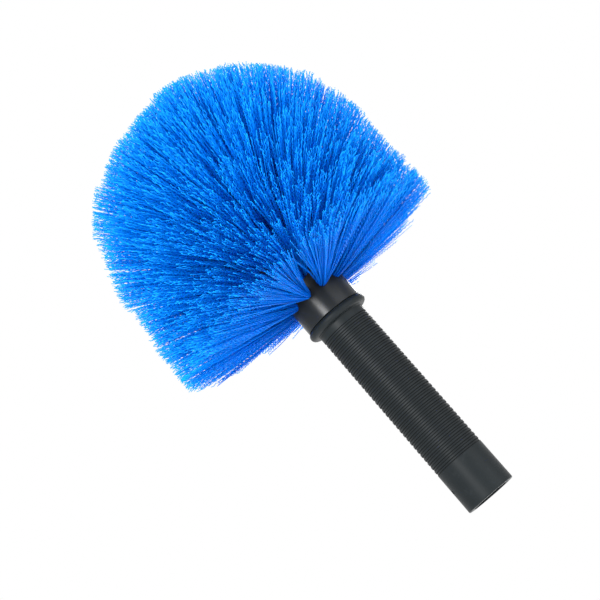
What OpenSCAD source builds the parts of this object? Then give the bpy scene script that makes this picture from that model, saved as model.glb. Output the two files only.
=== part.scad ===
// Domed cobweb brush head with a ringed grip that slips over an extension pole.
// The origin is the centre of the socket mouth, and +Z runs up the grip to the crown of the brush.
// All sizes are in millimetres.

/* [Socket and grip] */
// Diameter of the pole that the socket takes
pole_d = 25; // [22:0.5:27]
// Clearance all round the pole
pole_clearance = 0.25; // [0.1:0.05:0.5]
// Wall of the grip outside the socket, under the flange
grip_wall = 2.75; // [2.5:0.05:3.7]
// How much larger the grip's radius is at its mouth than under the flange
mouth_flare = 0.65; // [0:0.05:1]
// Depth that the pole goes in
socket_depth = 108; // [80:1:115]
// Length of the grip from its mouth to the underside of the flange
grip_length = 133; // [125:1:150]
// Radius of the outer edge at the mouth
mouth_round = 0.8; // [0.3:0.1:1.2]

/* [Grip rings] */
// Number of grooves round the grip
groove_count = 33; // [10:1:36]
// Distance from one groove to the next
groove_pitch = 3.09; // [2.5:0.01:3.3]
// Width of a groove at the surface
groove_width = 1.6; // [1.3:0.1:2]
// Width of a groove at its floor
groove_floor = 1.2; // [0.6:0.1:1.2]
// Depth of a groove
groove_depth = 0.35; // [0.2:0.05:0.7]
// Plain length between the flange and the topmost groove
plain_top = 4.6; // [3:0.1:8]

/* [Flange] */
// How far the flange stands out past the block
flange_overhang = 1.3; // [0.5:0.1:3]
// Thickness of the flange, whose edge is a full round
flange_height = 5.5; // [3.5:0.1:6.5]
// Radius of the fillet under the flange
flange_fillet = 0.8; // [0.4:0.1:1]

/* [Screw hole] */
// Diameter of the side hole for the screw that holds the pole
screw_hole_d = 3; // [2:0.1:5]
// Height of the screw hole above the mouth
screw_hole_height = 15; // [8:1:25]

/* [Block] */
// Diameter of the block
block_d = 37.6; // [36:0.1:44]
// Length of the block from its seat to its crown
block_length = 91.5; // [88:0.1:115]
// Radius of the lower edge of the block
block_edge = 0.5; // [0.2:0.1:1]
// Clearance all round the spigot of the block in its seat
spigot_clearance = 0.1; // [0.05:0.05:0.2]
// How much wider the spigot's seat is than the socket, on each side
seat_step = 0.5; // [0.4:0.05:0.7]
// Chamfer round the end of the spigot
spigot_chamfer = 1; // [0.5:0.1:2]
// Gap between the end of the spigot and the shoulder under it
spigot_end_gap = 0.3; // [0.1:0.1:0.8]
// How far the snap bead stands out from the spigot
snap_bead = 0.4; // [0.2:0.05:0.5]
// Height of the snap bead above the shoulder
snap_height = 13; // [8:0.5:15]

/* [Tuft field] */
// Tufts in each of the rings round the side
ring_tufts = 10; // [8:1:10]
// Height of the lowest ring above the block's seat
first_ring_height = 16.4; // [10:0.1:18]
// Tufts in the ring round the crown tuft
crown_ring_tufts = 6; // [4:1:6]
// Distance from the crown tuft to the ring round it, along the dome
crown_ring_gap = 10; // [9.5:0.1:10.5]
// Turn of the lowest ring against the X axis, in degrees
tuft_turn = 27; // [0:1:35]
// Diameter of the drilled holes
hole_d = 5; // [4:0.1:5.4]
// Depth of the drilled holes
hole_depth = 8.5; // [7:0.1:9]

/* [Bristles] */
// Length of the bristles round the side, from the block to their tips
side_trim = 73.5; // [60:0.5:90]
// Length of the bristles at the crown
crown_trim = 76; // [62:0.5:95]
// How far the lowest tips stand above the lowest ring
lowest_rise = 4.6; // [0:0.1:10]
// How strongly the tufts crowd towards the lowest ring
crowding = 1.25; // [1:0.05:1.5]
// Strands round the middle strand of each tuft
outer_strands = 5; // [3:1:5]
// Clearance round a tuft's root in its hole
root_clearance = 0.1; // [0.05:0.05:0.2]
// How far the root of the most slanted tuft stands clear of its hole before it opens
root_margin = 0.2; // [0.1:0.1:1]
// Length over which the root opens
root_flare = 5; // [3:0.5:8]
// How much wider the root is where it has opened, on each side
root_spread = 1; // [0.5:0.1:1.5]
// Radius of a strand at its root
strand_root_r = 0.7; // [0.5:0.05:0.8]
// Radius of a strand half way
strand_middle_r = 1.15; // [0.8:0.05:1.3]
// Radius of a strand at its tip
strand_tip_r = 1.45; // [1:0.05:1.6]
// Share of its room that a tuft's tips spread over
tip_fill = 0.82; // [0.5:0.02:0.86]
// Share of its length over which a strand keeps to the line of its hole
straight_share = 0.4; // [0.1:0.05:0.5]
// How much the tips differ in length
raggedness = 3; // [0:0.5:5]

/* [Staples] */
// Thickness of the flat wire of the staples
staple_thickness = 0.5; // [0.3:0.05:0.8]
// Width of the wire, along the hole
staple_width = 2; // [1:0.1:2.5]
// How far each end of a staple bites into the side of its hole
staple_bite = 0.5; // [0.3:0.05:0.6]
// Height of a staple above the floor of its hole
staple_lift = 1; // [0.5:0.1:1.5]

/* [Hidden] */
$fn = 64;

// Rings of tufts round the side, one node each
side_rings = 7;
// Largest angle between two points of a small round
round_step = 15;

socket_r = pole_d / 2 + pole_clearance;
grip_r = socket_r + grip_wall;
seat_r = socket_r + seat_step;
spigot_r = seat_r - spigot_clearance;
block_r = block_d / 2;
flange_r = block_r + flange_overhang;

// Heights above the mouth
block_seat = grip_length + flange_height;
spigot_end = socket_depth + spigot_end_gap;
snap_z = socket_depth + snap_height;
first_ring_z = block_seat + first_ring_height;
block_crown = block_seat + block_length;
dome_z = block_crown - block_r;

// The face of the block is followed upwards from the lowest ring: straight first, then over the dome
face_straight = dome_z - first_ring_z;
crown_face = face_straight + block_r * PI / 2;
crown_ring_face = crown_face - crown_ring_gap;
ring_pitch = crown_ring_face / side_rings;

// The tips lie on a like surface: straight round the side, then a dome
tips_r = block_r + side_trim;
tips_base = first_ring_z + lowest_rise;
tips_dome_z = block_crown + crown_trim - tips_r;
tips_straight = tips_dome_z - tips_base;
tips_length = tips_straight + tips_r * PI / 2;

root_r = hole_d / 2 - root_clearance;
strand_ring = root_r - strand_root_r;
flare_r = root_r + root_spread;

grip_colour = [0.2, 0.22, 0.23];
block_colour = [0.08, 0.09, 0.1];
tuft_colour = [0.05, 0.36, 0.9];
staple_colour = [0.75, 0.76, 0.78];

// The outside of the grip at a height
function grip_radius(z) = grip_r + mouth_flare * (1 - z / grip_length);

// A point [radius, height] on a straight side with a quarter round over it
function dome_profile(distance, straight, radius, base) =
    let (angle = (distance - straight) / radius * 180 / PI)
    distance < straight ? [radius, base + distance]
        : [radius * cos(angle), base + straight + radius * sin(angle)];

function face_point(distance) = dome_profile(distance, face_straight, block_r, first_ring_z);

function tip_point(distance) = dome_profile(distance, tips_straight, tips_r, tips_base);

// How far up the surface of tips this distance up the face of the block leads
function tip_distance(distance) =
    let (share = (distance + ring_pitch / 2) / (crown_face + ring_pitch / 2))
    tips_length * pow(share, crowding);

// Turns a [radius, height] point round the axis
function turned(point, angle) = [point[0] * cos(angle), point[0] * sin(angle), point[1]];

function unit(v) = v / norm(v);

// The rings of tufts, lowest first, with the crown tuft as the last
ring_faces = [for (j = [0 : side_rings - 1]) j * ring_pitch, crown_ring_face, crown_face];
ring_counts = [for (j = [0 : side_rings - 1]) ring_tufts, crown_ring_tufts, 1];
last_ring = len(ring_faces) - 1;

// Where the room of a ring's tips begins, half way from the ring below
function tips_from(j) =
    tip_distance(j == 0 ? -ring_pitch / 2 : (ring_faces[j - 1] + ring_faces[j]) / 2);

// The middle of a ring's tips on the surface of tips
function tips_middle(j) =
    j == last_ring ? tips_length : (tips_from(j) + tips_from(j + 1)) / 2;

function hole_angle(j, i) = tuft_turn + (j % 2) * 180 / ring_counts[j] + i * 360 / ring_counts[j];

// The lean of a ring's holes above level, from its place on the face to its tips
function hole_lean(j) =
    let (from = face_point(ring_faces[j]), to = tip_point(tips_middle(j)))
    atan2(to[1] - from[1], to[0] - from[0]);

// How far a ring's holes lean away from square to the face
function hole_slant(j) = hole_lean(j) - max(0, ring_faces[j] - face_straight) / block_r * 180 / PI;

steepest_slant = max([for (j = [0 : last_ring]) hole_slant(j)]);
root_rise = hole_d / 2 * tan(steepest_slant) + root_margin;

// The tip of a strand that leaves its tuft at a bearing. The crown tuft opens evenly all round, and
// the others spread over their own share of the turn.
function tip_place(j, i, bearing, spread) =
    let (reach = spread * (tips_middle(j) - tips_from(j)), angle = hole_angle(j, i))
    j == last_ring ? turned(tip_point(tips_length - reach), angle + 90 + bearing)
        : turned(tip_point(tips_middle(j) + reach * sin(bearing)),
            angle + spread * cos(bearing) * 180 / ring_counts[j]);

// Carries its children to a hole's mouth, with +Z along the hole and +X level
module at_hole(j, i) {
    point = face_point(ring_faces[j]);
    rotate([0, 0, hole_angle(j, i)])
        translate([point[0], 0, point[1]])
            rotate([0, 90 - hole_lean(j), 0])
                rotate([0, 0, 90])
                    children();
}

// One hole for a tuft, from its floor to past its mouth
module hole() {
    translate([0, 0, -hole_depth]) cylinder(h = hole_depth + root_rise + root_flare, d = hole_d);
}

// The flat staple that a tuft is folded round, with both ends in the side of the hole
module staple() {
    length = hole_d + 2 * staple_bite;
    translate([-length / 2, -staple_thickness / 2, staple_lift - hole_depth])
        cube([length, staple_thickness, staple_width]);
}

// The folded root of a tuft, which fills its hole and opens out above the mouth
module tuft_root() {
    rotate_extrude()
        polygon([
            [0, -hole_depth], [root_r, -hole_depth], [root_r, root_rise],
            [flare_r, root_rise + root_flare], [0, root_rise + root_flare]
        ]);
}

// A three-sided strand through three points, wider towards its tip
module strand(root, middle, tip) {
    run = unit(tip - root);
    side = unit(cross(run, abs(run[2]) < 0.9 ? [0, 0, 1] : [1, 0, 0]));
    other = cross(side, run);
    centres = [root, middle, tip];
    radii = [strand_root_r, strand_middle_r, strand_tip_r];
    corners = [for (k = [0 : 2], a = [0, 120, 240])
        centres[k] + radii[k] * (cos(a) * side + sin(a) * other)];
    walls = [for (k = [0, 1], a = [0 : 2])
        let (b = (a + 1) % 3)
        each [[3 * k + a, 3 * k + b, 3 * k + 3 + a], [3 * k + b, 3 * k + 3 + b, 3 * k + 3 + a]]];
    polyhedron(corners, concat([[2, 1, 0], [6, 7, 8]], walls));
}

// The strands of one tuft: one in the middle and the others round it. Each starts inside the opened
// root and leaves along the hole before it bends to its own tip.
module strands(j, i) {
    angle = hole_angle(j, i);
    lean = hole_lean(j);
    mouth = turned(face_point(ring_faces[j]), angle);
    out = turned([cos(lean), sin(lean)], angle);
    level = [-sin(angle), cos(angle), 0];
    up = cross(out, level);
    shortfall = rands(0, raggedness, outer_strands + 1, 100 * j + i);
    for (k = [0 : outer_strands]) {
        spread = k == 0 ? 0 : 1;
        bearing = (k + 0.25 + 0.5 * (i % 2)) * 360 / outer_strands;
        offset = spread * strand_ring * (cos(bearing) * level + sin(bearing) * up);
        root = mouth + (root_rise + root_flare / 2) * out + offset;
        full_tip = tip_place(j, i, bearing, spread * tip_fill);
        tip = full_tip - shortfall[k] * unit(full_tip - root);
        bend = root + straight_share * norm(tip - root) * out + offset;
        strand(root, (root + 2 * bend + tip) / 4, tip);
    }
}

// A tuft folded round its staple: one root with the strands fused into it
module tuft(j, i) {
    difference() {
        union() {
            at_hole(j, i) tuft_root();
            strands(j, i);
        }
        at_hole(j, i) staple();
    }
}

module tuft_ring(j) {
    color(tuft_colour)
        for (i = [0 : ring_counts[j] - 1]) tuft(j, i);
}

// Points on a round between two angles
function round_points(centre, radius, from, to) =
    let (steps = ceil(abs(to - from) / round_step))
    [for (k = [0 : steps])
        let (a = from + (to - from) * k / steps)
        centre + radius * [cos(a), sin(a)]];

// The ringed grip: a tube with a flange to seat the block and a wider seat for the spigot
module grip() {
    top_groove = grip_length - plain_top - groove_width / 2;
    grooves = [for (k = [groove_count - 1 : -1 : 0])
        let (z = top_groove - k * groove_pitch)
        each [
            [grip_radius(z - groove_width / 2), z - groove_width / 2],
            [grip_radius(z) - groove_depth, z - groove_floor / 2],
            [grip_radius(z) - groove_depth, z + groove_floor / 2],
            [grip_radius(z + groove_width / 2), z + groove_width / 2]
        ]];
    lip = flange_height / 2;
    color(grip_colour)
        difference() {
            rotate_extrude()
                polygon(concat(
                    [[socket_r, 0]],
                    round_points([grip_radius(0) - mouth_round, mouth_round], mouth_round, -90, 0),
                    grooves,
                    round_points([grip_r + flange_fillet, grip_length - flange_fillet],
                        flange_fillet, 180, 90),
                    round_points([flange_r - lip, grip_length + lip], lip, -90, 90),
                    [[seat_r, block_seat], [seat_r, socket_depth], [socket_r, socket_depth]]
                ));
            // Groove for the snap bead
            translate([0, 0, snap_z])
                rotate_extrude()
                    translate([seat_r, 0])
                        circle(r = snap_bead + spigot_clearance, $fn = 24);
            translate([0, 0, screw_hole_height])
                rotate([0, -90, 0])
                    cylinder(h = 2 * grip_r, d = screw_hole_d);
        }
}

// The moulded block: spigot with its snap bead, straight body, dome and the drilled holes
module block() {
    color(block_colour)
        difference() {
            union() {
                rotate_extrude()
                    intersection() {
                        union() {
                            polygon(concat(
                                [[0, spigot_end], [spigot_r - spigot_chamfer, spigot_end],
                                 [spigot_r, spigot_end + spigot_chamfer], [spigot_r, block_seat]],
                                round_points([block_r - block_edge, block_seat + block_edge],
                                    block_edge, -90, 0),
                                [[block_r, dome_z], [0, dome_z]]
                            ));
                            translate([0, dome_z]) circle(r = block_r);
                        }
                        square([block_d, block_crown]);
                    }
                translate([0, 0, snap_z])
                    rotate_extrude()
                        translate([spigot_r, 0])
                            circle(r = snap_bead, $fn = 24);
            }
            for (j = [0 : last_ring], i = [0 : ring_counts[j] - 1])
                at_hole(j, i) {
                    hole();
                    staple();
                }
        }
}

// The flat staples, one to each tuft
module staples() {
    color(staple_colour)
        for (j = [0 : last_ring], i = [0 : ring_counts[j] - 1])
            at_hole(j, i) staple();
}

module tuft_ring_1() { tuft_ring(0); }
module tuft_ring_2() { tuft_ring(1); }
module tuft_ring_3() { tuft_ring(2); }
module tuft_ring_4() { tuft_ring(3); }
module tuft_ring_5() { tuft_ring(4); }
module tuft_ring_6() { tuft_ring(5); }
module tuft_ring_7() { tuft_ring(6); }
module tuft_ring_crown() { tuft_ring(last_ring - 1); }
module tuft_crown() { tuft_ring(last_ring); }

grip();
block();
staples();
tuft_ring_1();
tuft_ring_2();
tuft_ring_3();
tuft_ring_4();
tuft_ring_5();
tuft_ring_6();
tuft_ring_7();
tuft_ring_crown();
tuft_crown();
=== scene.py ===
import math

import bpy
import numpy as np
from mathutils import Matrix, Vector


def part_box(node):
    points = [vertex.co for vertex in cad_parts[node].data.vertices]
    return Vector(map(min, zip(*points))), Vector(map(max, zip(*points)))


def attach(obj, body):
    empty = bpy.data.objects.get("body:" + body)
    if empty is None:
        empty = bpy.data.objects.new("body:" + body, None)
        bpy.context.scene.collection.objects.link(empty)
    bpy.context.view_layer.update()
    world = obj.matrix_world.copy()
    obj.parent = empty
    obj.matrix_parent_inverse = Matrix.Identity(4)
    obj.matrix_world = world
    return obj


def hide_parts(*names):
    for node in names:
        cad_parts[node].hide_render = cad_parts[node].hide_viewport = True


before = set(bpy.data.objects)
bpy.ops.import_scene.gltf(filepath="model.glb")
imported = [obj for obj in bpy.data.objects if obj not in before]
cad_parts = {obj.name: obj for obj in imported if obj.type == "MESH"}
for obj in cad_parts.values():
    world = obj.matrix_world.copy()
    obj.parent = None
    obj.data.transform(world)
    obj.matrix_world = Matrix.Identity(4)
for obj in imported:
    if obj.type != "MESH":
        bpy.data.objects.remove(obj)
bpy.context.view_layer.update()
print("frame loaded")


class Wire:
    # a shader socket that adds Math nodes when it stands in an expression
    def __init__(self, finish, socket):
        self.finish = finish
        self.socket = socket

    def math(self, operation, *values):
        sockets = dict(enumerate(values))
        return self.finish.add("ShaderNodeMath", {"operation": operation}, sockets)

    def __add__(self, other):
        return self.math("ADD", self, other)

    def __sub__(self, other):
        return self.math("SUBTRACT", self, other)

    def __rsub__(self, other):
        return self.math("SUBTRACT", other, self)

    def __mul__(self, other):
        return self.math("MULTIPLY", self, other)

    __radd__ = __add__
    __rmul__ = __mul__

    def size(self):
        return self.math("ABSOLUTE", self)

    def clamped(self):
        return self.math("MINIMUM", self.math("MAXIMUM", self, 0), 1)


class Finish:
    # the nodes of one material, or of the surroundings
    def __init__(self, owner):
        self.owner = owner
        owner.use_nodes = True
        self.tree = owner.node_tree
        self.tree.nodes.clear()

    def add(self, kind, settings, sockets, output=0):
        node = self.tree.nodes.new(kind)
        for name, value in settings.items():
            if name == "stops":
                self.setStops(node.color_ramp, value)
            else:
                setattr(node, name, value)
        for name, value in sockets.items():
            if isinstance(value, Wire):
                self.tree.links.new(value.socket, node.inputs[name])
            else:
                node.inputs[name].default_value = value
        return Wire(self, node.outputs[output])

    def setStops(self, ramp, stops):
        while len(ramp.elements) < len(stops):
            ramp.elements.new(0.5)
        for element, (place, colour) in zip(ramp.elements, stops):
            element.position = place
            element.color = (*colour, 1)

    def noise(self, scale, detail=4, roughness=0.55, stretch=(1, 1, 1)):
        place = self.add("ShaderNodeTexCoord", {}, {}, "Object")
        place = self.add("ShaderNodeMapping", {}, {"Vector": place, "Scale": stretch})
        sockets = {"Vector": place, "Scale": scale, "Detail": detail, "Roughness": roughness}
        return self.add("ShaderNodeTexNoise", {}, sockets, "Fac")

    def place(self, axis):
        # a coordinate of the object, in metres
        spot = self.add("ShaderNodeTexCoord", {}, {}, "Object")
        return self.add("ShaderNodeSeparateXYZ", {}, {"Vector": spot}, axis)

    def distanceToWhole(self, value):
        # how far a value is from the nearest whole number
        return value.math("PINGPONG", value, 0.5)

    def between(self, value, low, high):
        return value.math("GREATER_THAN", value, low) * value.math("LESS_THAN", value, high)

    def mixed(self, share, first, second):
        sockets = {0: share, 6: first, 7: second}
        return self.add("ShaderNodeMix", {"data_type": "RGBA"}, sockets, 2)

    def bump(self, height, distance, strength):
        sockets = {"Height": height, "Distance": distance, "Strength": strength}
        return self.add("ShaderNodeBump", {}, sockets)

    def done(self, surface, kind="ShaderNodeOutputMaterial"):
        output = self.tree.nodes.new(kind)
        self.tree.links.new(surface.socket, output.inputs["Surface"])
        return self.owner


def dress(nodeName, material):
    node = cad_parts[nodeName]
    node.data.materials.clear()
    node.data.materials.append(material)


# Camera: the photograph's own, low and looking up, rolled so that the grip runs down to the right
shot = {
    "lens": 120,  # mm
    "sensor": 36,  # mm across
    "nearest": 0.01,  # m from the camera that it still sees
    "distance": 1.1701,  # m to the target
    "target": (-0.00963, 0, 0.15827),  # before the turn
    "tilt": 10.2,  # degrees that the view rises
    "turn": -12.2,  # degrees round the axis from the -Y side
    "roll": 40.9,  # degrees that the axis leans to the left in the picture
}


def makeCamera():
    tilt, roll = math.radians(shot["tilt"]), math.radians(shot["roll"])
    ahead = Vector((0, math.cos(tilt), math.sin(tilt)))
    above = Vector((0, -math.sin(tilt), math.cos(tilt)))
    side = Vector((1, 0, 0))
    right = math.cos(roll) * side - math.sin(roll) * above
    up = math.cos(roll) * above + math.sin(roll) * side
    place = Vector(shot["target"]) - shot["distance"] * ahead
    pose = Matrix((right, up, -ahead)).transposed().to_4x4()
    pose.translation = place
    data = bpy.data.cameras.new("photoCamera")
    data.lens = shot["lens"]
    data.sensor_width = shot["sensor"]
    data.clip_start = shot["nearest"]
    camera = bpy.data.objects.new("photoCamera", data)
    camera.matrix_world = Matrix.Rotation(math.radians(shot["turn"]), 4, "Z") @ pose
    bpy.context.collection.objects.link(camera)
    bpy.context.scene.camera = camera


makeCamera()
print("camera placed")


# Moulded plastic of the ringed grip
# a pattern, here and below, is the scale, detail, roughness and stretch of a noise
gripLook = {
    "dark": (0.0065, 0.0085, 0.0095),
    "light": (0.0115, 0.0145, 0.016),
    "cloudPattern": (45,),
    "scuffed": (0.06, 0.065, 0.07),
    "scuffPattern": (160, 6, 0.7),
    "scuffsOver": 0.6,  # of the pattern, so that few places are scuffed
    "scuffContrast": 3,
    "scuffShare": 0.25,
    "roughness": 0.43,
    "roughnessSpread": 0.14,
    "gloss": 0.08,
    "grainPattern": (1700, 2),
    "streakPattern": (900, 3, 0.6, (1, 1, 0.06)),
    "streakShare": 0.6,
    "grain": 0.00003,  # m, height of the moulded grain
    "grainStrength": 0.6,
    "firstGroove": 0.02872,  # m, the middle of the lowest groove
    "groovePitch": 0.00309,
    "grooved": (0.0275, 0.1285),  # m, from and to this height
    "wall": 0.235,  # share of the pitch from the middle of a groove to its wall
    "wallPeak": 1.25,
    "wallFade": 9,  # how fast its shade fades to both sides, per pitch
    # painted shade on the steep walls of the grooves
    "paintedWallShade": (0.001, 0.0014, 0.0016),
    "wallShadeShare": 0.85,
    "wallRoughness": 0.4,  # more than the rest
}


def gripPlastic():
    finish = Finish(bpy.data.materials.new("gripPlastic"))
    cloudy = finish.noise(*gripLook["cloudPattern"])
    grain = finish.noise(*gripLook["grainPattern"])
    streaks = finish.noise(*gripLook["streakPattern"])
    scuffs = finish.noise(*gripLook["scuffPattern"]) - gripLook["scuffsOver"]
    scuffs = (gripLook["scuffContrast"] * scuffs).clamped()
    colour = finish.mixed(cloudy, (*gripLook["dark"], 1), (*gripLook["light"], 1))
    colour = finish.mixed(gripLook["scuffShare"] * scuffs, colour, (*gripLook["scuffed"], 1))
    # the steep walls of the grooves get painted shade and are duller than the lands and floors
    # between them
    height = finish.place(2)
    turns = (height - gripLook["firstGroove"]) * (1 / gripLook["groovePitch"])
    fromWall = (finish.distanceToWhole(turns) - gripLook["wall"]).size()
    paintedWallShade = (gripLook["wallPeak"] - gripLook["wallFade"] * fromWall).clamped()
    paintedWallShade = paintedWallShade * finish.between(height, *gripLook["grooved"])
    colour = finish.mixed(gripLook["wallShadeShare"] * paintedWallShade, colour, (*gripLook["paintedWallShade"], 1))
    roughness = gripLook["roughness"] + gripLook["roughnessSpread"] * (cloudy + scuffs - 0.5)
    roughness = roughness + gripLook["wallRoughness"] * paintedWallShade
    grain = grain + gripLook["streakShare"] * streaks
    sockets = {
        "Base Color": colour,
        "Roughness": roughness,
        "Normal": finish.bump(grain, gripLook["grain"], gripLook["grainStrength"]),
        "Specular IOR Level": gripLook["gloss"],
    }
    return finish.done(finish.add("ShaderNodeBsdfPrincipled", {}, sockets))


# Glossier bluish black of the block that holds the bristles
blockLook = {
    "dark": (0.006, 0.0075, 0.0085),
    "light": (0.010, 0.012, 0.0135),
    "cloudPattern": (60,),
    "roughness": 0.3,
    "roughnessSpread": 0.14,
    "gloss": 0.15,
    "flowPattern": (220, 3, 0.5, (1, 1, 0.3)),
    "flow": 0.00004,  # m, height of the faint flow marks
    "flowStrength": 0.5,
}


def blockPlastic():
    finish = Finish(bpy.data.materials.new("blockPlastic"))
    cloudy = finish.noise(*blockLook["cloudPattern"])
    flow = finish.noise(*blockLook["flowPattern"])
    colour = finish.mixed(cloudy, (*blockLook["dark"], 1), (*blockLook["light"], 1))
    roughness = blockLook["roughness"] + blockLook["roughnessSpread"] * (flow + cloudy - 1)
    sockets = {
        "Base Color": colour,
        "Roughness": roughness,
        "Normal": finish.bump(flow, blockLook["flow"], blockLook["flowStrength"]),
        "Specular IOR Level": blockLook["gloss"],
    }
    return finish.done(finish.add("ShaderNodeBsdfPrincipled", {}, sockets))


# Drawn steel of the staples at the foot of the tufts
stapleLook = {
    "dark": (0.42, 0.43, 0.45),
    "light": (0.66, 0.67, 0.69),
    "drawnPattern": (1400, 3, 0.6, (1, 1, 0.1)),
    "roughness": 0.25,
    "roughnessSpread": 0.2,
    "scratch": 0.00002,  # m, height of the drawn lines
    "scratchStrength": 0.4,
}


def stapleSteel():
    finish = Finish(bpy.data.materials.new("stapleSteel"))
    drawn = finish.noise(*stapleLook["drawnPattern"])
    colour = finish.mixed(drawn, (*stapleLook["dark"], 1), (*stapleLook["light"], 1))
    sockets = {
        "Base Color": colour,
        "Metallic": 1,
        "Roughness": stapleLook["roughness"] + stapleLook["roughnessSpread"] * drawn,
        "Normal": finish.bump(drawn, stapleLook["scratch"], stapleLook["scratchStrength"]),
    }
    return finish.done(finish.add("ShaderNodeBsdfPrincipled", {}, sockets))


dress("grip", gripPlastic())
dress("block", blockPlastic())
dress("staples", stapleSteel())
print("grip, block and staples dressed")


# Crimped blue filament, with painted shade at its root, painted light through its middle and a
# painted highlight at its cut end
filamentLook = {
    "stops": [  # share of the way from root to tip, and the colour there, with painted shade low down, painted through-light in the middle and a painted highlight at the cut end
        (0.0, (0.0003, 0.075, 0.55)),
        (0.6, (0.0005, 0.24, 0.95)),
        (0.92, (0.0008, 0.27, 0.90)),
        (0.985, (0.008, 0.38, 1.0)),
    ],
    "deep": (0.0005, 0.032, 0.5),
    "deepShare": 0.25,  # in the deepest filament, and less in the others
    # painted highlight: a paler blue for a few filaments
    "paintedGlint": (0.006, 0.31, 1.0),
    "paintedGlintFrom": 0.75,  # filaments with less tint than this get none of it
    "paintedGlintShare": 1.2,
    "roughness": 0.32,
    "roughnessSpread": 0.2,
    "gloss": 0.12,
    "glossTint": (0.08, 0.5, 1.0),
    "throughLight": 0.24,  # share of the light that passes through a filament
}


def filamentPlastic():
    finish = Finish(bpy.data.materials.new("filamentPlastic"))
    along = finish.add("ShaderNodeAttribute", {"attribute_name": "along"}, {}, "Fac")
    tint = finish.add("ShaderNodeAttribute", {"attribute_name": "tint"}, {}, "Fac")
    # the ramp paints shade at the root, light through the middle and a highlight at the cut end
    settings = {"stops": filamentLook["stops"]}
    colour = finish.add("ShaderNodeValToRGB", settings, {"Fac": along}, "Color")
    # filaments differ: some are deeper in tone, and a few are paler as a painted highlight along
    # them
    deepShare = filamentLook["deepShare"] * (1 - tint)
    paintedGlintShare = (filamentLook["paintedGlintShare"] * (tint - filamentLook["paintedGlintFrom"])).clamped()
    colour = finish.mixed(deepShare, colour, (*filamentLook["deep"], 1))
    colour = finish.mixed(paintedGlintShare, colour, (*filamentLook["paintedGlint"], 1))
    sockets = {
        "Base Color": colour,
        "Roughness": filamentLook["roughness"] + filamentLook["roughnessSpread"] * (tint - 0.5),
        "Specular IOR Level": filamentLook["gloss"],
        "Specular Tint": (*filamentLook["glossTint"], 1),
    }
    solid = finish.add("ShaderNodeBsdfPrincipled", {}, sockets)
    through = finish.add("ShaderNodeBsdfTranslucent", {}, {"Color": colour})
    sockets = {0: filamentLook["throughLight"], 1: solid, 2: through}
    return finish.done(finish.add("ShaderNodeMixShader", {}, sockets))


# The field of tufts, laid out on the block by the same rule as the drilled holes in it
blockLow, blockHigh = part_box("block")
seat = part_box("grip")[1].z
field = {
    "radius": (blockHigh.x - blockLow.x) / 2,
    "firstRing": seat + 0.0164,  # m, height of the lowest holes
    "crown": blockHigh.z,
    "rings": 7,
    "ringTufts": 10,
    "crownTufts": 6,
    "crownGap": 0.010,  # m over the dome from the crown's ring to the crown
    "turn": 27,  # degrees of the lowest ring against the X axis
    "sideTrim": 0.0735,  # m from the block to the tips at its side
    "crownTrim": 0.076,  # m from the crown to the tips over it
    "lowestRise": 0.0046,  # m that the lowest tips are above their holes
    "crowding": 1.25,  # over 1, the tips are closer together low down
}
domeZ = field["crown"] - field["radius"]
faceStraight = domeZ - field["firstRing"]
crownFace = faceStraight + field["radius"] * math.pi / 2
crownRingFace = crownFace - field["crownGap"]
ringPitch = crownRingFace / field["rings"]
tipsRadius = field["radius"] + field["sideTrim"]
tipsBase = field["firstRing"] + field["lowestRise"]
tipsStraight = field["crown"] + field["crownTrim"] - tipsRadius - tipsBase
tipsLength = tipsStraight + tipsRadius * math.pi / 2
ringFaces = [j * ringPitch for j in range(field["rings"])] + [crownRingFace, crownFace]
ringCounts = [field["ringTufts"]] * field["rings"] + [field["crownTufts"], 1]
lastRing = len(ringFaces) - 1


def domeProfile(distance, straight, radius, base):
    # radius and height at a distance up a straight side with a quarter round over it
    angle = np.maximum(distance - straight, 0) / radius
    return radius * np.cos(angle), base + np.minimum(distance, straight) + radius * np.sin(angle)


def tipPoint(distance):
    return domeProfile(distance, tipsStraight, tipsRadius, tipsBase)


def tipDistance(distance):
    share = (distance + ringPitch / 2) / (crownFace + ringPitch / 2)
    return tipsLength * share ** field["crowding"]


def tipsFrom(j):
    return tipDistance(-ringPitch / 2 if j == 0 else (ringFaces[j - 1] + ringFaces[j]) / 2)


def tipsMiddle(j):
    return tipsLength if j == lastRing else (tipsFrom(j) + tipsFrom(j + 1)) / 2


def holeFrame(j, i):
    # the mouth of a hole, the way out of it, and the level and upward ways across it
    faceR, faceZ = domeProfile(ringFaces[j], faceStraight, field["radius"], field["firstRing"])
    tipR, tipZ = tipPoint(tipsMiddle(j))
    lean = math.atan2(tipZ - faceZ, tipR - faceR)
    # every other ring is turned by half a step
    angle = math.radians(field["turn"] + (j % 2) * 180 / ringCounts[j] + i * 360 / ringCounts[j])
    ring = np.array([math.cos(angle), math.sin(angle), 0])
    level = np.array([-math.sin(angle), math.cos(angle), 0])
    out = math.cos(lean) * ring + np.array([0, 0, math.sin(lean)])
    return faceR * ring + np.array([0, 0, faceZ]), out, level, np.cross(out, level), angle
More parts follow.
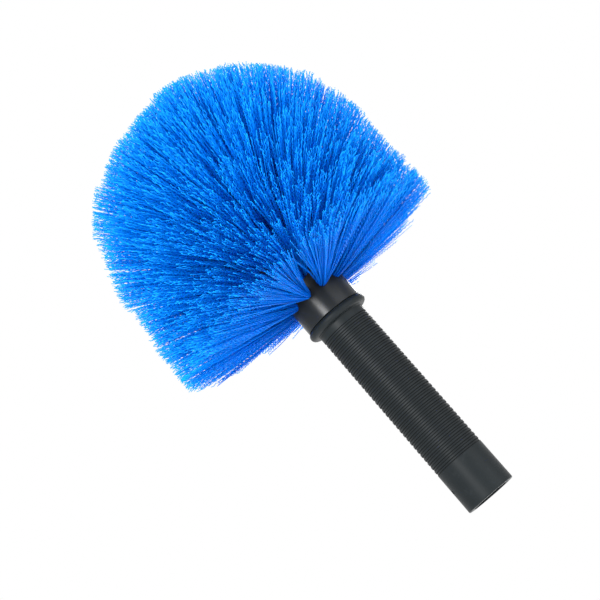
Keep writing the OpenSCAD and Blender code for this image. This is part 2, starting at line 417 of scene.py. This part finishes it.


# One bunch of filaments, set into its hole
bunch = {
    "filaments": 138,
    "joints": 60,  # points along a filament, one at each turn of its crimp
    "bunchRadius": 0.0022,  # m, in the hole
    "sides": 3,  # of the rod that a filament is
    "thickness": 0.00023,  # m, radius of a filament
    "thicknessSpread": (0.85, 1.15),
    "sunk": 0.003,  # m that a filament starts inside its hole
    "straightShare": 0.22,  # how far along it a filament bends towards its tip
    "bendFlare": 1.5,  # how much wider the bunch is there, as a share of its width in the hole
    "fill": 1.04,  # share of its room that a bunch's tips spread over
    "scatter": 0.18,
    "strays": 0.02,  # share of filaments that stand out from their bunch
    "strayReach": 1.25,
    "raggedness": 0.0045,  # m, the most that a filament is shorter than its bunch
    "shortness": (1.2, 3.5),  # shape of the beta law for that, with few that are much shorter
    "longer": 0.0024,  # m, the most that a bunch is longer or shorter than others
    "droop": 0.0015,  # m that the lowest tips may hang below the edge of the surface of tips
    "crimp": 0.0004,  # m, how far the crimp swings
    "crimped": (0.05, 0.17),  # shares of the way where the crimp starts and is full
    "swing": (0.7, 1.2),  # least and most of the crimp from joint to joint
    "swingAcross": 0.35,  # share of each swing that also goes the other way across the filament
    "sway": 0.12,  # slow wander from side to side, as a share of the crimp
    "together": 4,  # bunches made as one piece
}


def unit(vectors):
    return vectors / np.linalg.norm(vectors, axis=-1, keepdims=True)


def bunchPaths(j, i, random):
    # the points of one bunch's filaments, as an array of filament, joint and X, Y, Z
    count, joints = bunch["filaments"], bunch["joints"]
    mouth, out, level, up, angle = holeFrame(j, i)
    bearing = random.uniform(0, 2 * math.pi, count)
    share = np.sqrt((np.arange(count) + 0.5) / count)
    across = np.outer(np.cos(bearing), level) + np.outer(np.sin(bearing), up)
    offset = bunch["bunchRadius"] * share[:, None] * across
    spread = bunch["fill"] * share
    spread = spread + bunch["scatter"] * random.normal(0, 1, count)
    stray = random.uniform(0, 1, count) < bunch["strays"]
    spread = np.where(stray, bunch["strayReach"] * spread, spread)
    reach = tipsMiddle(j) - tipsFrom(j)
    if j == lastRing:
        tipR, tipZ = tipPoint(tipsLength - reach * np.abs(spread))
        around = angle + math.pi / 2 + bearing
    else:
        # tips that would pass the lower edge or the crown are turned back
        wanted = tipsMiddle(j) + reach * spread * np.sin(bearing) + bunch["droop"]
        wanted = np.abs(wanted) - bunch["droop"]
        over = np.maximum(wanted - tipsLength, 0)
        tipR, tipZ = tipPoint(wanted - 2 * over)
        around = angle + spread * np.cos(bearing) * math.pi / ringCounts[j]
    tips = np.stack([tipR * np.cos(around), tipR * np.sin(around), tipZ], 1)
    roots = mouth + offset - bunch["sunk"] * out
    way = tips - roots
    short = bunch["raggedness"] * random.beta(*bunch["shortness"], count)
    short = short + bunch["longer"] * random.uniform(-1, 1)
    tips = tips - short[:, None] * unit(way)
    length = np.linalg.norm(tips - roots, axis=1)
    bend = roots + bunch["straightShare"] * length[:, None] * out + bunch["bendFlare"] * offset
    t = np.linspace(0, 1, joints)[None, :, None]
    paths = roots[:, None] * (1 - t) ** 2 + 2 * bend[:, None] * t * (1 - t) + tips[:, None] * t ** 2
    # the crimp swings to and fro at every joint and fades out towards the hole
    run = unit(tips - roots)
    side = unit(np.cross(run, random.normal(0, 1, (count, 3))))
    other = np.cross(run, side)
    swing = random.uniform(*bunch["swing"], (count, joints)) * (-1.0) ** np.arange(joints)
    sway = np.cumsum(random.normal(0, bunch["sway"], (count, joints)), 1)
    across = bunch["swingAcross"] * swing + sway
    moved = swing[..., None] * side[:, None] + across[..., None] * other[:, None]
    grown = np.interp(t, bunch["crimped"], (0, 1))
    return paths + bunch["crimp"] * grown * moved, side, other


def bristleMesh(name, j, places, random):
    # every filament is a thin rod with its cut end closed
    made = [bunchPaths(j, i, random) for i in places]
    paths, side, other = (np.concatenate(parts) for parts in zip(*made))
    count, joints = paths.shape[:2]
    sides = bunch["sides"]
    thick = bunch["thickness"] * random.uniform(*bunch["thicknessSpread"], count)[:, None]
    turns = [2 * math.pi * k / sides for k in range(sides)]
    corners = [thick * (math.cos(a) * side + math.sin(a) * other) for a in turns]
    points = paths[:, :, None] + np.stack(corners, 1)[:, None]
    near = np.arange(sides)
    far = (near + 1) % sides
    below = (np.arange(count)[:, None] * joints + np.arange(joints - 1))[..., None] * sides
    above = below + sides
    walls = np.stack([below + near, below + far, above + far, above + near], -1).reshape(-1, 4)
    ends = (np.arange(count) * joints + joints - 1)[:, None] * sides + near
    loops = np.concatenate([walls.ravel(), ends.ravel()])
    starts = np.concatenate([np.arange(len(walls)) * 4, walls.size + np.arange(count) * sides])
    mesh = bpy.data.meshes.new(name)
    mesh.vertices.add(points.size // 3)
    mesh.vertices.foreach_set("co", points.astype(np.float32).ravel())
    mesh.loops.add(len(loops))
    mesh.loops.foreach_set("vertex_index", loops.astype(np.int32))
    mesh.polygons.add(len(starts))
    mesh.polygons.foreach_set("loop_start", starts.astype(np.int32))
    mesh.update(calc_edges=True)
    along = np.linspace(0, 1, joints)[None, :, None]
    tint = random.uniform(0, 1, count)[:, None, None]
    for label, values in (("along", along), ("tint", tint)):
        layer = mesh.attributes.new(label, "FLOAT", "POINT")
        values = np.broadcast_to(values, (count, joints, sides))
        layer.data.foreach_set("value", values.astype(np.float32).ravel())
    # each filament has its own narrow strip of the map, root at the bottom
    rows = loops // sides
    strip = (rows // joints + 0.1 + 0.8 * (np.arange(len(loops)) % 4 > 1)) / count
    layer = mesh.uv_layers.new(name="OFBake")
    spots = np.stack([strip, (rows % joints) / (joints - 1)], 1)
    layer.uv.foreach_set("vector", spots.astype(np.float32).ravel())
    return mesh


def makeBristles():
    material = filamentPlastic()
    nodes = [f"tuft_ring_{j + 1}" for j in range(field["rings"])]
    nodes += ["tuft_ring_crown", "tuft_crown"]
    for j, nodeName in enumerate(nodes):
        # a ring is made a few bunches at a time, each time from its own seed
        for start in range(0, ringCounts[j], bunch["together"]):
            name = nodeName.replace("tuft", "bristles") + f"_{start + 1}"
            places = range(start, min(start + bunch["together"], ringCounts[j]))
            mesh = bristleMesh(name, j, places, np.random.default_rng(100 * j + start))
            mesh.materials.append(material)
            piece = bpy.data.objects.new(name, mesh)
            bpy.context.collection.objects.link(piece)
            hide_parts(nodeName)
            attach(piece, "root")
            print(name, len(mesh.polygons), "faces")


makeBristles()
print("bristles made")


# A pale floor well under the brush, white surroundings and soft lamps
studio = {
    "floorHeight": -0.3,
    "floorRadius": 1.1,
    "floorCorners": 96,
    "floorDark": (0.82, 0.82, 0.82),
    "floorLight": (0.86, 0.86, 0.86),
    "floorPattern": (8,),
    "floorRoughness": 0.7,
    "backdrop": 1,  # strength of the surroundings where the camera sees them
    "surround": 1.22,  # and as a light
    "aim": (0, 0, 0.17),
    "lamps": {  # degrees from the camera to the right, height, distance, watts and width
        "keyLamp": (-20, 0.35, 1.0, 14, 0.34),
        "fillLamp": (55, 0.2, 1.1, 6, 0.9),
        "backLamp": (170, 0.7, 1.1, 38, 0.9),
    },
}


def makeFloor():
    radius, corners = studio["floorRadius"], studio["floorCorners"]
    turns = [2 * math.pi * k / corners for k in range(corners)]
    rim = [(radius * math.cos(a), radius * math.sin(a), 0) for a in turns]
    mesh = bpy.data.meshes.new("floor")
    mesh.from_pydata(rim, [], [list(range(corners))])
    finish = Finish(bpy.data.materials.new("floorPaint"))
    cloudy = finish.noise(*studio["floorPattern"])
    colour = finish.mixed(cloudy, (*studio["floorDark"], 1), (*studio["floorLight"], 1))
    sockets = {"Base Color": colour, "Roughness": studio["floorRoughness"]}
    mesh.materials.append(finish.done(finish.add("ShaderNodeBsdfPrincipled", {}, sockets)))
    floor = bpy.data.objects.new("floor", mesh)
    floor.location.z = studio["floorHeight"]
    bpy.context.collection.objects.link(floor)


def makeLamp(name, azimuth, height, distance, power, size):
    turn = math.radians(shot["turn"] + azimuth - 90)
    data = bpy.data.lights.new(name, "AREA")
    data.shape = "DISK"
    data.size = size
    data.energy = power
    lamp = bpy.data.objects.new(name, data)
    place = Vector((distance * math.cos(turn), distance * math.sin(turn), height))
    lamp.location = place
    lamp.rotation_euler = (Vector(studio["aim"]) - place).to_track_quat("-Z", "Y").to_euler()
    bpy.context.collection.objects.link(lamp)


def makeSurroundings():
    finish = Finish(bpy.data.worlds.new("whiteRoom"))
    seen = finish.add("ShaderNodeLightPath", {}, {}, "Is Camera Ray")
    sockets = {0: seen, 2: studio["surround"], 3: studio["backdrop"]}
    strength = finish.add("ShaderNodeMix", {}, sockets)
    sockets = {"Color": (1, 1, 1, 1), "Strength": strength}
    white = finish.add("ShaderNodeBackground", {}, sockets)
    bpy.context.scene.world = finish.done(white, "ShaderNodeOutputWorld")


makeFloor()
makeSurroundings()
for lampName, settings in studio["lamps"].items():
    makeLamp(lampName, *settings)
bpy.context.scene.view_settings.view_transform = "Standard"
print("studio lit")
